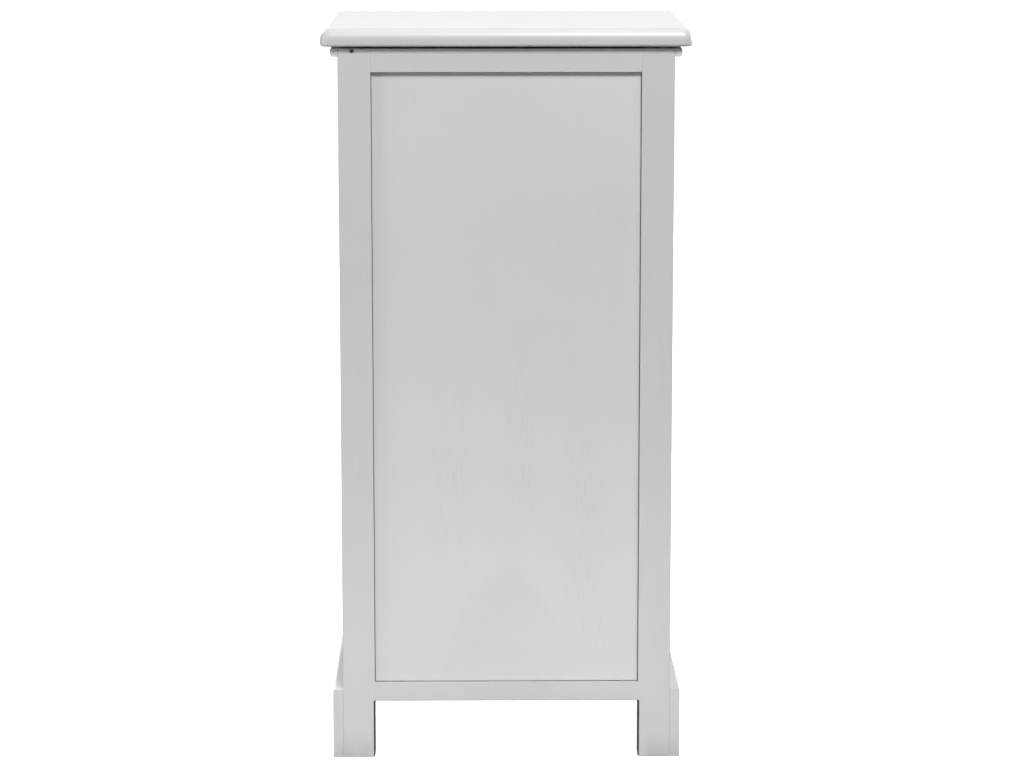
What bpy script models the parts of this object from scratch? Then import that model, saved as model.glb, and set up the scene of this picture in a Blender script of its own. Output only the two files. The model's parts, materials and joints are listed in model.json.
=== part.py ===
"""Apothecary cabinet: a narrow painted wooden cabinet with ten small drawers, on bracket feet.

Units are metres and +Z is up. The drawers open towards -Y. The origin is on the floor, under the
middle of the cabinet with its knobs. Left and right are those of a person facing the drawers.
"""

import math

import bmesh
import bpy
from mathutils import Matrix, Vector

# ---------------------------------------------------------------- driving dimensions
HEIGHT = 0.800
GAP = 0.0003  # between pieces that touch

# Top board, and how far it stands out past the body on each side
TOP_WIDTH = 0.396
TOP_DEPTH = 0.320
TOP_THICK = 0.019
TOP_ROUND_ABOVE = 0.009
TOP_ROUND_BELOW = 0.005
ROUNDING_STEPS = 5
REAR_OVERHANG = 0.0075
FRONT_OVERHANG = 0.019
SHADOW_SLIT = 0.0025  # the rear frame and the strips stop this far below the top board

# Body frame
BODY_WIDTH = 0.359
REAR_LEG_WIDTH = 0.035
REAR_LEG_DEPTH = 0.022
FRONT_LEG_WIDTH = 0.022
FRONT_LEG_DEPTH = 0.035
TOP_RAIL_HEIGHT = 0.0275
BOTTOM_RAIL_HEIGHT = 0.0206
FRONT_RAIL_DEPTH = 0.020
FOOT_CLEARANCE = 0.064  # floor to the underside of the bottom rails

# Framed sides
SIDE_RAIL_THICK = 0.020
SIDE_TOP_RAIL_HEIGHT = 0.046
SIDE_BOTTOM_RAIL_HEIGHT = 0.036

# Thin panels held in grooves of the frame
PANEL_THICK = 0.004
PANEL_TONGUE = 0.006  # how deep a panel's edge goes into its groove
BACK_PANEL_RECESS = 0.0046
SIDE_PANEL_RECESS = 0.005

# Strip under the top, and skirt round the base
MOULDING_THICK = 0.0075
MOULDING_HEIGHT = 0.011
SKIRT_THICK = 0.011
SKIRT_HEIGHT = 0.0764
SKIRT_FOOT_WIDTH = 0.048
SKIRT_ARCH_HEIGHT = 0.044
SKIRT_ARCH_RADIUS = 0.022
ARCH_STEPS = 6

# Inner boards
BOTTOM_THICK = 0.009
SHELF_THICK = 0.012
PARTITION_THICK = 0.014

# Drawers
ROWS = 5
FRONT_THICK = 0.014
FRONT_CLEARANCE = 0.0012
BOX_SIDE_CLEARANCE = 0.0018
BOX_REAR_CLEARANCE = 0.003
BOX_HEIGHT = 0.100
BOX_WALL = 0.008
BOX_FLOOR = 0.005

# Turned knob with its stud, and the screw in the rear leg
KNOB_REACH = 0.024
KNOB_RADIUS = 0.012
KNOB_HEAD_THICK = 0.014
KNOB_NECK_RADIUS = 0.0045
KNOB_ROSE_RADIUS = 0.008
KNOB_ROSE_EDGE = 0.0018
KNOB_NECK_START = 0.004
KNOB_HEAD_STEPS = 7
KNOB_STUD_RADIUS = 0.002
KNOB_STUD_LENGTH = 0.010
TURNED_SIDES = 20
BORE_SIDES = 12
SCREW_HEAD_RADIUS = 0.0022
SCREW_HEAD_DEPTH = 0.0022
SCREW_HEAD_RIM = 0.0005
SCREW_SHANK_RADIUS = 0.0015
SCREW_LENGTH = 0.016
SCREW_X = 0.1642
SCREW_DROP = 0.0050  # screw's centre below the top board

# ---------------------------------------------------------------- places worked out from them
BODY_DEPTH = TOP_DEPTH - REAR_OVERHANG - FRONT_OVERHANG
WHOLE_DEPTH = KNOB_REACH + BODY_DEPTH + REAR_OVERHANG
BACK_Y = WHOLE_DEPTH / 2 - REAR_OVERHANG
FRONT_Y = BACK_Y - BODY_DEPTH
SIDE_X = BODY_WIDTH / 2
UNDER_TOP = HEIGHT - TOP_THICK
SLIT_Z = UNDER_TOP - SHADOW_SLIT
TOP_RAIL_Z = UNDER_TOP - TOP_RAIL_HEIGHT
BOTTOM_RAIL_Z = FOOT_CLEARANCE + BOTTOM_RAIL_HEIGHT
REAR_LEG_X = SIDE_X - REAR_LEG_WIDTH
FRONT_LEG_X = SIDE_X - FRONT_LEG_WIDTH
REAR_LEG_Y = BACK_Y - REAR_LEG_DEPTH
FRONT_LEG_Y = FRONT_Y + FRONT_LEG_DEPTH
SIDE_TOP_RAIL_Z = UNDER_TOP - SIDE_TOP_RAIL_HEIGHT
SIDE_BOTTOM_RAIL_Z = FOOT_CLEARANCE + SIDE_BOTTOM_RAIL_HEIGHT
ROW_HEIGHT = (TOP_RAIL_Z - BOTTOM_RAIL_Z - (ROWS - 1) * SHELF_THICK) / ROWS
CROSSING_Y = (FRONT_Y + REAR_LEG_Y) / 2  # where shelves and partition are halved together


def clear_scene():
    for old in list(bpy.data.objects):
        bpy.data.objects.remove(old, do_unlink=True)


def paint(name, colour, roughness, metallic=0.0):
    material = bpy.data.materials.new(name)
    material.use_nodes = True
    shader = material.node_tree.nodes["Principled BSDF"]
    shader.inputs["Base Color"].default_value = (*colour, 1.0)
    shader.inputs["Roughness"].default_value = roughness
    shader.inputs["Metallic"].default_value = metallic
    return material


# ---------------------------------------------------------------- shaping helpers
def add_object(name, mesh_builder, material, location, parent=None):
    """Makes an object from a bmesh whose points are relative to the location."""
    bmesh.ops.recalc_face_normals(mesh_builder, faces=mesh_builder.faces)
    mesh = bpy.data.meshes.new(name)
    mesh_builder.to_mesh(mesh)
    mesh_builder.free()
    obj = bpy.data.objects.new(name, mesh)
    bpy.context.scene.collection.objects.link(obj)
    if material:  # cutters have none
        mesh.materials.append(material)
    obj.location = Vector(location)
    if parent:
        obj.parent = parent
        obj.location -= parent.location
    return obj


def box_mesh(size):
    builder = bmesh.new()
    bmesh.ops.create_cube(builder, size=1.0, matrix=Matrix.Diagonal((*size, 1.0)))
    return builder


def middle_and_size(x, y, z):
    spans = (x, y, z)
    middle = [(low + high) / 2 for low, high in spans]
    size = [high - low for low, high in spans]
    return middle, size


def board(name, x, y, z, material, parent=None):
    """A plain board between the given (low, high) places."""
    middle, size = middle_and_size(x, y, z)
    return add_object(name, box_mesh(size), material, middle, parent)


def extruded(name, outline, along, low, high, material):
    """A flat outline pushed out from low to high along X, Y or Z.

    The outline's two coordinates are the other two axes, in X, Y, Z order.
    """
    builder = bmesh.new()
    axis = "XYZ".index(along)
    others = [index for index in range(3) if index != axis]
    corners = []
    for first, second in outline:
        point = Vector()
        point[axis] = low
        point[others[0]] = first
        point[others[1]] = second
        corners.append(builder.verts.new(point))
    face = builder.faces.new(corners)
    pushed = bmesh.ops.extrude_face_region(builder, geom=[face])
    moved = [item for item in pushed["geom"] if isinstance(item, bmesh.types.BMVert)]
    push = Vector()
    push[axis] = high - low
    bmesh.ops.translate(builder, verts=moved, vec=push)
    return add_object(name, builder, material, (0, 0, 0))


def turned_mesh(profile, sides):
    """A solid turned about Y from (radius, y) points that start and end on the axis."""
    builder = bmesh.new()
    line = [builder.verts.new((radius, y, 0)) for radius, y in profile]
    edges = [builder.edges.new(pair) for pair in zip(line, line[1:])]
    bmesh.ops.spin(
        builder, geom=line + edges, cent=(0, 0, 0), axis=(0, 1, 0), angle=math.tau, steps=sides
    )
    bmesh.ops.remove_doubles(builder, verts=builder.verts, dist=1e-6)
    return builder


def shade_round(obj):
    obj.data.shade_smooth()
    obj.data.set_sharp_from_angle(angle=math.radians(40))


def as_cutter(obj):
    obj.hide_render = True
    obj.display_type = "WIRE"
    return obj


def cut(obj, cutter):
    boolean = obj.modifiers.new(f"cut_by_{cutter.name}", "BOOLEAN")
    boolean.operation = "DIFFERENCE"
    boolean.solver = "EXACT"
    boolean.object = cutter


# ---------------------------------------------------------------- top
def make_top(material, trim):
    """The bullnosed top board and the strips tucked under it."""
    centre_y = BACK_Y + REAR_OVERHANG - TOP_DEPTH / 2
    builder = box_mesh((TOP_WIDTH, TOP_DEPTH, TOP_THICK))
    for rounding, upper in ((TOP_ROUND_ABOVE, True), (TOP_ROUND_BELOW, False)):
        rim = [
            edge
            for edge in builder.edges
            if all((vert.co.z > 0) == upper for vert in edge.verts)
        ]
        bmesh.ops.bevel(
            builder, geom=rim, offset=rounding, segments=ROUNDING_STEPS, profile=0.5, affect="EDGES"
        )
    top = add_object("top_board", builder, material, (0, centre_y, HEIGHT - TOP_THICK / 2))
    shade_round(top)

    z = (UNDER_TOP - MOULDING_HEIGHT, SLIT_Z)
    outer = SIDE_X + MOULDING_THICK
    board("moulding_left", (-outer, -SIDE_X - GAP), (FRONT_Y, BACK_Y), z, trim)
    board("moulding_right", (SIDE_X + GAP, outer), (FRONT_Y, BACK_Y), z, trim)
    board("moulding_front", (-outer, outer), (FRONT_Y - MOULDING_THICK, FRONT_Y - GAP), z, trim)


# ---------------------------------------------------------------- frame
def make_back_frame(material, panel_material):
    """Rear legs and rails, and the back panel in their grooves. Returns the two legs."""
    y = (REAR_LEG_Y, BACK_Y)
    z = (0, SLIT_Z)
    left = board("rear_leg_left", (-SIDE_X, -REAR_LEG_X), y, z, material)
    right = board("rear_leg_right", (REAR_LEG_X, SIDE_X), y, z, material)
    rail_x = (-REAR_LEG_X + GAP, REAR_LEG_X - GAP)
    rails = [
        board("rear_top_rail", rail_x, y, (TOP_RAIL_Z, SLIT_Z), material),
        board("rear_bottom_rail", rail_x, y, (FOOT_CLEARANCE, BOTTOM_RAIL_Z), material),
    ]

    reach = PANEL_TONGUE
    panel_back = BACK_Y - BACK_PANEL_RECESS
    panel = [
        (-REAR_LEG_X - reach, REAR_LEG_X + reach),
        (panel_back - PANEL_THICK, panel_back),
        (BOTTOM_RAIL_Z - reach, TOP_RAIL_Z + reach),
    ]
    board("back_panel", *panel, panel_material)
    groove = as_cutter(board("back_panel_groove", *widened(panel), None))
    for piece in (left, right, *rails):
        cut(piece, groove)
    return left, right


def widened(spans):
    """The same spans with a gap all round."""
    return [(low - GAP, high + GAP) for low, high in spans]


def make_front_frame(material):
    """Front legs and rails. Returns the two legs."""
    y = (FRONT_Y, FRONT_LEG_Y)
    z = (0, UNDER_TOP - GAP)
    left = board("front_leg_left", (-SIDE_X, -FRONT_LEG_X), y, z, material)
    right = board("front_leg_right", (FRONT_LEG_X, SIDE_X), y, z, material)
    rail_x = (-FRONT_LEG_X + GAP, FRONT_LEG_X - GAP)
    rail_y = (FRONT_Y, FRONT_Y + FRONT_RAIL_DEPTH)
    board("front_top_rail", rail_x, rail_y, (TOP_RAIL_Z, UNDER_TOP - GAP), material)
    board("front_bottom_rail", rail_x, rail_y, (FOOT_CLEARANCE, BOTTOM_RAIL_Z), material)
    return left, right


def make_side(side, sign, legs, material, panel_material):
    """Rails between a front and a rear leg, with a thin panel in grooves all round."""

    def across(inner, outer):
        return tuple(sorted((sign * inner, sign * outer)))

    x = across(SIDE_X - SIDE_RAIL_THICK, SIDE_X)
    y = (FRONT_LEG_Y + GAP, REAR_LEG_Y - GAP)
    upper = board(f"side_top_rail_{side}", x, y, (SIDE_TOP_RAIL_Z, UNDER_TOP - GAP), material)
    lower = board(f"side_bottom_rail_{side}", x, y, (FOOT_CLEARANCE, SIDE_BOTTOM_RAIL_Z), material)

    reach = PANEL_TONGUE
    face = SIDE_X - SIDE_PANEL_RECESS
    panel = [
        across(face - PANEL_THICK, face),
        (FRONT_LEG_Y - reach, REAR_LEG_Y + reach),
        (SIDE_BOTTOM_RAIL_Z - reach, SIDE_TOP_RAIL_Z + reach),
    ]
    board(f"side_panel_{side}", *panel, panel_material)
    groove = as_cutter(board(f"side_panel_groove_{side}", *widened(panel), None))
    for piece in (*legs, upper, lower):
        cut(piece, groove)


def make_rear_screw(leg, material):
    """Countersunk screw in the rear leg, just under the top board."""
    place = (SCREW_X, BACK_Y - GAP, UNDER_TOP - SCREW_DROP)

    def profile(extra):
        return [
            (0, extra),
            (SCREW_HEAD_RADIUS + extra, extra),
            (SCREW_HEAD_RADIUS + extra, -SCREW_HEAD_RIM),
            (SCREW_SHANK_RADIUS + extra, -SCREW_HEAD_DEPTH),
            (SCREW_SHANK_RADIUS + extra, -SCREW_LENGTH - extra),
            (0, -SCREW_LENGTH - extra),
        ]

    screw = add_object("rear_screw", turned_mesh(profile(0), BORE_SIDES), material, place)
    shade_round(screw)
    bore = turned_mesh(profile(2 * GAP), BORE_SIDES)
    cut(leg, as_cutter(add_object("rear_screw_bore", bore, None, place)))


# ---------------------------------------------------------------- base
def arched_outline(start, end):
    """A skirt board's outline: a foot at each end and a round-cornered arch between them."""
    outline = [(start, 0), (start, SKIRT_HEIGHT), (end, SKIRT_HEIGHT), (end, 0)]
    for foot_edge, inward in ((end - SKIRT_FOOT_WIDTH, -1), (start + SKIRT_FOOT_WIDTH, 1)):
        centre = (foot_edge + inward * SKIRT_ARCH_RADIUS, SKIRT_ARCH_HEIGHT - SKIRT_ARCH_RADIUS)
        corner = [(foot_edge, 0)]
        for step in range(ARCH_STEPS + 1):
            angle = math.radians(90) * step / ARCH_STEPS
            corner.append(
                (
                    centre[0] - inward * SKIRT_ARCH_RADIUS * math.cos(angle),
                    centre[1] + SKIRT_ARCH_RADIUS * math.sin(angle),
                )
            )
        outline += corner if inward < 0 else reversed(corner)
    return outline


def make_skirt(material):
    outer = SIDE_X + SKIRT_THICK
    side = arched_outline(FRONT_Y, BACK_Y)
    extruded("side_skirt_left", side, "X", -outer, -SIDE_X - GAP, material)
    extruded("side_skirt_right", side, "X", SIDE_X + GAP, outer, material)
    front = arched_outline(-outer, outer)
    extruded("front_skirt", front, "Y", FRONT_Y - SKIRT_THICK, FRONT_Y - GAP, material)


# ---------------------------------------------------------------- inner boards
def row_floor(row):
    """Height of the surface that a row's drawers run on. Row 1 is the top row."""
    return BOTTOM_RAIL_Z + (ROWS - row) * (ROW_HEIGHT + SHELF_THICK)


def make_inner_boards(material):
    """The bottom, the shelves and the partition, which is halved together with the shelves."""
    inner_x = FRONT_LEG_X - GAP
    rear = REAR_LEG_Y - GAP
    board(
        "cabinet_bottom",
        (-inner_x, inner_x),
        (FRONT_Y + FRONT_RAIL_DEPTH + GAP, rear),
        (BOTTOM_RAIL_Z - BOTTOM_THICK, BOTTOM_RAIL_Z),
        material,
    )

    slot_x = PARTITION_THICK / 2 + GAP
    slot_y = CROSSING_Y - GAP
    shelf_outline = [
        (-inner_x, FRONT_Y), (inner_x, FRONT_Y), (inner_x, rear), (slot_x, rear),
        (slot_x, slot_y), (-slot_x, slot_y), (-slot_x, rear), (-inner_x, rear),
    ]
    for shelf in range(1, ROWS):
        top = row_floor(shelf)
        extruded(f"shelf_{shelf}", shelf_outline, "Z", top - SHELF_THICK, top, material)

    partition = [
        (FRONT_Y, BOTTOM_RAIL_Z + GAP), (rear, BOTTOM_RAIL_Z + GAP),
        (rear, TOP_RAIL_Z - GAP), (FRONT_Y, TOP_RAIL_Z - GAP),
    ]
    slot_end = CROSSING_Y + GAP
    for shelf in range(1, ROWS):
        high = row_floor(shelf) + GAP
        low = row_floor(shelf) - SHELF_THICK - GAP
        partition += [(FRONT_Y, high), (slot_end, high), (slot_end, low), (FRONT_Y, low)]
    half = PARTITION_THICK / 2
    extruded("centre_partition", partition, "X", -half, half, material)


# ---------------------------------------------------------------- drawers
def knob_profile():
    """(radius, y) points from the stud's end out to the crown; the drawer front's face is y = 0."""
    half = KNOB_HEAD_THICK / 2
    centre = KNOB_REACH - half
    profile = [
        (0, KNOB_STUD_LENGTH),
        (KNOB_STUD_RADIUS, KNOB_STUD_LENGTH),
        (KNOB_STUD_RADIUS, -GAP),
        (KNOB_ROSE_RADIUS, -GAP),
        (KNOB_ROSE_RADIUS, -KNOB_ROSE_EDGE),
        (KNOB_NECK_RADIUS, -KNOB_NECK_START),
    ]
    start = math.asin(KNOB_NECK_RADIUS / KNOB_RADIUS)
    for step in range(KNOB_HEAD_STEPS + 1):
        angle = start + (math.pi - start) * step / KNOB_HEAD_STEPS
        radius = KNOB_RADIUS * math.sin(angle) if step < KNOB_HEAD_STEPS else 0
        profile.append((radius, -centre + half * math.cos(angle)))
    return profile


def make_box_mesh(size):
    """An open-topped box: the top face inset by the wall's thickness and sunk to the floor."""
    builder = box_mesh(size)
    top = max(builder.faces, key=lambda face: face.calc_center_median().z)
    bmesh.ops.inset_individual(builder, faces=[top], thickness=BOX_WALL)
    pushed = bmesh.ops.extrude_face_region(builder, geom=[top])
    bmesh.ops.delete(builder, geom=[top], context="FACES")
    sunk = [item for item in pushed["geom"] if isinstance(item, bmesh.types.BMVert)]
    bmesh.ops.translate(builder, verts=sunk, vec=(0, 0, BOX_FLOOR - size[2]))
    return builder


def make_drawer(row, side, sign, materials):
    """One drawer on an empty that sits on its slide's line, in the middle of its front."""
    inner = PARTITION_THICK / 2
    outer = FRONT_LEG_X
    floor = row_floor(row)
    centre_x = sign * (inner + outer) / 2
    centre_z = floor + ROW_HEIGHT / 2
    name = f"r{row}_{side}"

    slide = bpy.data.objects.new(f"slide_{name}", None)
    bpy.context.scene.collection.objects.link(slide)
    slide.location = (centre_x, FRONT_Y, centre_z)

    half_front = (outer - inner) / 2 - FRONT_CLEARANCE
    front = board(
        f"drawer_front_{name}",
        (centre_x - half_front, centre_x + half_front),
        (FRONT_Y, FRONT_Y + FRONT_THICK),
        (floor + FRONT_CLEARANCE, floor + ROW_HEIGHT - FRONT_CLEARANCE),
        materials["drawer_paint"],
        slide,
    )

    half_box = (outer - inner) / 2 - BOX_SIDE_CLEARANCE
    box_y = (FRONT_Y + FRONT_THICK + GAP, REAR_LEG_Y - BOX_REAR_CLEARANCE)
    middle, size = middle_and_size(
        (centre_x - half_box, centre_x + half_box),
        box_y,
        (floor + FRONT_CLEARANCE, floor + FRONT_CLEARANCE + BOX_HEIGHT),
    )
    add_object(f"drawer_box_{name}", make_box_mesh(size), materials["bare_wood"], middle, slide)

    knob = add_object(
        f"knob_{name}", turned_mesh(knob_profile(), TURNED_SIDES), materials["brass"],
        slide.location, slide,
    )
    shade_round(knob)

    bore_radius = KNOB_STUD_RADIUS + 2 * GAP
    bore_end = KNOB_STUD_LENGTH + GAP
    bore_mesh = turned_mesh(
        [(0, bore_end), (bore_radius, bore_end), (bore_radius, -GAP), (0, -GAP)], BORE_SIDES
    )
    cut(front, as_cutter(add_object(f"bore_{name}", bore_mesh, None, slide.location, slide)))


def main():
    clear_scene()
    frame_paint = paint("frame_paint", (0.63, 0.63, 0.61), 0.5)
    top_paint = paint("top_paint", (0.72, 0.72, 0.72), 0.4)
    panel_paint = paint("panel_paint", (0.60, 0.60, 0.58), 0.65)
    drawer_paint = paint("drawer_paint", (0.64, 0.64, 0.62), 0.5)
    inner_paint = paint("inner_paint", (0.58, 0.58, 0.56), 0.65)
    bare_wood = paint("bare_wood", (0.62, 0.47, 0.31), 0.7)
    brass = paint("brass", (0.55, 0.40, 0.18), 0.35, 1.0)
    dark_steel = paint("dark_steel", (0.05, 0.05, 0.05), 0.45, 1.0)

    make_top(top_paint, frame_paint)
    rear_left, rear_right = make_back_frame(frame_paint, panel_paint)
    front_left, front_right = make_front_frame(frame_paint)
    make_side("left", -1, (front_left, rear_left), frame_paint, panel_paint)
    make_side("right", 1, (front_right, rear_right), frame_paint, panel_paint)
    make_rear_screw(rear_right, dark_steel)
    make_skirt(frame_paint)
    make_inner_boards(inner_paint)
    materials = {"drawer_paint": drawer_paint, "bare_wood": bare_wood, "brass": brass}
    for row in range(1, ROWS + 1):
        make_drawer(row, "left", -1, materials)
        make_drawer(row, "right", 1, materials)


main()
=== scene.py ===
"""Looks of the apothecary cabinet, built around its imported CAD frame.

Units are metres and +Z is up. The drawers open towards -Y, and the camera looks at the back, from +Y.
A box-shaped piece's edge is named by the two faces that meet there, such as "-x+y".
"""

import json
import math

import bmesh
import bpy
from mathutils import Matrix, Vector, noise


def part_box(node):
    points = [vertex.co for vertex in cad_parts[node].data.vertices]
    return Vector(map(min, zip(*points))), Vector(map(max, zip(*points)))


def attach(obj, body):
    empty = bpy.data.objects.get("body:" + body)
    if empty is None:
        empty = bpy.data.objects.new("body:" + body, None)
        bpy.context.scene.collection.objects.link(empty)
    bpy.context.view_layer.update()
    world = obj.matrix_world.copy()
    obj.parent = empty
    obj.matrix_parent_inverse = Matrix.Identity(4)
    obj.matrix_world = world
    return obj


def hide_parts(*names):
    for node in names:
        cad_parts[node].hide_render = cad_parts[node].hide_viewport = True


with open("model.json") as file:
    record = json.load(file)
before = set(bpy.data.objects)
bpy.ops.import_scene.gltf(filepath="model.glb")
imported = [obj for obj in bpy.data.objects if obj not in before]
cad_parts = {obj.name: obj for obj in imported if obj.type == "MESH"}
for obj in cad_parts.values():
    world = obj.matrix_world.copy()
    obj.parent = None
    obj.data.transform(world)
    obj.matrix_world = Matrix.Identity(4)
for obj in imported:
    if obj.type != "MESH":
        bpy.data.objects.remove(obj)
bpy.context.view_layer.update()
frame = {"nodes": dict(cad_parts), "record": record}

AXES = "xyz"

# Rounding of the painted boards' edges
SOFT = 0.0011  # sanded edges
CRISP = 0.00035  # edges that meet another board
SOFT_STEPS = 4
CRISP_STEPS = 2
TOUCH = 0.0003  # closes the CAD model's gap where two boards meet flush
SQUARE_ON = 0.999999  # a face whose normal is this near an axis is flat
NEAR = 1e-6  # distances shorter than this count as none
CUT_MERGE = 1e-7  # merge distance of a cut across a mesh

# Top board
TOP_ROUND_IN = 0.009  # of the upper edge, inward
TOP_ROUND_DOWN = 0.012  # of the upper edge, downward
TOP_ROUND_BELOW = 0.003
TOP_CORNER = 0.0105  # of the outline, seen from above
ROUND_STEPS = 9
TOP_WAVE_SCALE = 9  # waves for each metre
STRIP_ROUND = 0.0032  # lower edge of the strips under the top

# Panels
PANEL_TONGUE = 0.006
LINE_WIDTH = 0.0007  # the narrow sunk joint line round a panel's field, its bottom painted dark as shade
LINE_DEPTH = 0.0013
FIELD_EASE = 0.0004  # rounding of the field's edge
PAINTED_SHADE_FADE_WIDTH = 0.009  # of the faint painted shade inside the line
PAINTED_SHADE_FADE_SHARE = 0.1
FIELD_SPACING = 0.012  # between the cuts that let a flat face wave
FIELD_WAVES = 0.00012  # how deep the waves are
PANEL_WAVE_SCALE = (10, 10, 4)  # waves for each metre, along X, Y and Z

# Skirt
SKIRT_FOOT_WIDTH = 0.048
ARCH_HEIGHT = 0.044
ARCH_RADIUS = 0.022
ARCH_STEPS = 18
SKIRT_TOP_ROUND = 0.0022
FOOT_EDGE = 0.0015  # rounding of a rear foot's inner edge and of the legs' bottom edges
FLOOR_DARKENING_HEIGHT = 0.03  # the darkening towards the floor fades out this far above it

# Screw
SCREW_SHANK = 0.0015
SCREW_TAPER = 0.0022  # depth of the countersunk head
SCREW_RIM = 0.0005  # height of the head's straight rim
RIM_EDGE_IN = 0.0003  # the rim's broken edge, inward and downward
RIM_EDGE_DOWN = 0.0002
SCREW_SIDES = 28
CROSS_REACH = 0.0016
CROSS_WIDTH = 0.0006
CROSS_DEPTH = 0.0012
SINK_ROOM = 0.0002  # between the screw's head and the sink in the leg
SINK_DEPTH = 0.003

# Drawers
ROWS = 5
FRONT_EASE = 0.0014  # sanded edge of a drawer front
FRONT_BORDER = 0.0105  # from the edge to the routed groove
GROOVE_WIDTH = 0.0042
GROOVE_DEPTH = 0.0018
DRAWER_WALL = 0.008
DRAWER_FLOOR = 0.005
DRAWER_TOP_ROUND = 0.0012
FINGERS = 5  # of each corner joint
FINGER_GAP = 0.00008  # at each end of a finger

# Knobs
KNOB_SIDES = 56
STUD_RADIUS = 0.002
ROSE_RADIUS = 0.008
ROSE_RIM = 0.0011  # height of the rose's straight rim
ROSE_ROUND_IN = 0.0014
ROSE_ROUND_OUT = 0.0012
ROSE_STEPS = 4
NECK_RADIUS = 0.0043
NECK_START = 0.0024  # both ends are measured from the drawer's face
NECK_END = 0.0095
NECK_FLARE = 0.0016
NECK_FLARE_GAIN = 0.0012  # the neck flares this much more at the head than at the rose
NECK_STEPS = 8
HEAD_GAP = 0.0006  # from the neck's end to the head's start
HEAD_START_RADIUS = 0.0072
HEAD_WIDEST = 0.42  # share of the head's length
HEAD_STEPS = 8
CROWN_STEPS = 14

# Stage and camera
STAGE_RADIUS = 40
FLOOR_DROP = 0.0002  # keeps the floor just under the feet
CAMERA_LENS = 115.6
CAMERA_PITCH = -9.90  # degrees
CAMERA_YAW = -0.59  # degrees
CAMERA_DISTANCE = 3.5  # from the cabinet's back
CAMERA_SIDE = 0.030
CAMERA_HEIGHT = 1.028


# ---------------------------------------------------------------- nodes for materials
def node(tree, kind, inputs=None, **settings):
    """Adds a node; an input is a number, a colour, or another node's socket."""
    made = tree.nodes.new(kind)
    for name, value in settings.items():
        setattr(made, name, value)
    for name, value in (inputs or {}).items():
        if isinstance(value, bpy.types.NodeSocket):
            tree.links.new(value, made.inputs[name])
        else:
            made.inputs[name].default_value = value
    return made


def place_on_piece(tree):
    """The place on the piece, shifted differently on each one, so that no two boards look the same."""
    place = node(tree, "ShaderNodeTexCoord").outputs["Object"]
    luck = node(tree, "ShaderNodeObjectInfo").outputs["Random"]
    shift = node(
        tree, "ShaderNodeVectorMath", {0: PATTERN_SHIFT, "Scale": luck}, operation="SCALE"
    )
    moved = node(tree, "ShaderNodeVectorMath", {0: place, 1: shift.outputs[0]}, operation="ADD")
    return moved.outputs[0]


def drawn_out(tree, place, axis, share):
    """Squeezes places along an axis, which draws a pattern out along it."""
    squeeze = [1.0, 1.0, 1.0]
    squeeze[AXES.index(axis)] = share
    return node(
        tree, "ShaderNodeVectorMath", {0: place, 1: squeeze}, operation="MULTIPLY"
    ).outputs[0]


def cloud(tree, place, scale, detail=3.0, rough=0.55, twist=0.0):
    """Cloudy noise from 0 to 1; the scale is in patches for each metre."""
    inputs = {
        "Vector": place, "Scale": scale, "Detail": detail, "Roughness": rough, "Distortion": twist,
    }
    return node(tree, "ShaderNodeTexNoise", inputs).outputs["Fac"]


def rescaled(tree, value, low, high, to_low=0.0, to_high=1.0):
    """A value carried smoothly from one range to another, and held at its ends."""
    inputs = {"Value": value, "From Min": low, "From Max": high, "To Min": to_low, "To Max": to_high}
    return node(tree, "ShaderNodeMapRange", inputs, interpolation_type="SMOOTHSTEP").outputs[0]


def maths(tree, operation, first, second=0.0):
    """The result of a sum, product or function of one or two values."""
    return node(tree, "ShaderNodeMath", {0: first, 1: second}, operation=operation).outputs[0]


def blended(tree, share, first, second):
    """Mixes two colours; the sockets 0, 6 and 7 are the mix node's factor and its two colours."""
    inputs = {0: share, 6: first, 7: second}
    return node(tree, "ShaderNodeMix", inputs, data_type="RGBA").outputs[2]


def rgb(colour):
    """A colour with the fourth channel that a node's socket takes."""
    return (*colour, 1.0)


def shader_material(name):
    """A new material, its node tree and its surface shader."""
    material = bpy.data.materials.new(name)
    material.use_nodes = True
    return material, material.node_tree, material.node_tree.nodes["Principled BSDF"]


def bumped(tree, shader, height, strength, depth):
    """Gives the surface a fine relief, as deep as depth in metres."""
    bump = node(tree, "ShaderNodeBump", {"Height": height, "Strength": strength, "Distance": depth})
    tree.links.new(bump.outputs[0], shader.inputs["Normal"])


# ---------------------------------------------------------------- materials
def soft_patch(tree, centre, half):
    """1 in the middle of an upright patch of the XZ plane and 0 outside it, with soft borders."""
    place = node(tree, "ShaderNodeTexCoord").outputs["Object"]
    parts = node(tree, "ShaderNodeSeparateXYZ", {0: place})
    sides = []
    for socket, middle, reach in (("X", centre[0], half[0]), ("Z", centre[1], half[1])):
        away = maths(tree, "ABSOLUTE", maths(tree, "SUBTRACT", parts.outputs[socket], middle))
        sides.append(rescaled(tree, away, 0.35 * reach, reach, 1.0, 0.0))
    return maths(tree, "MULTIPLY", *sides)


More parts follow.
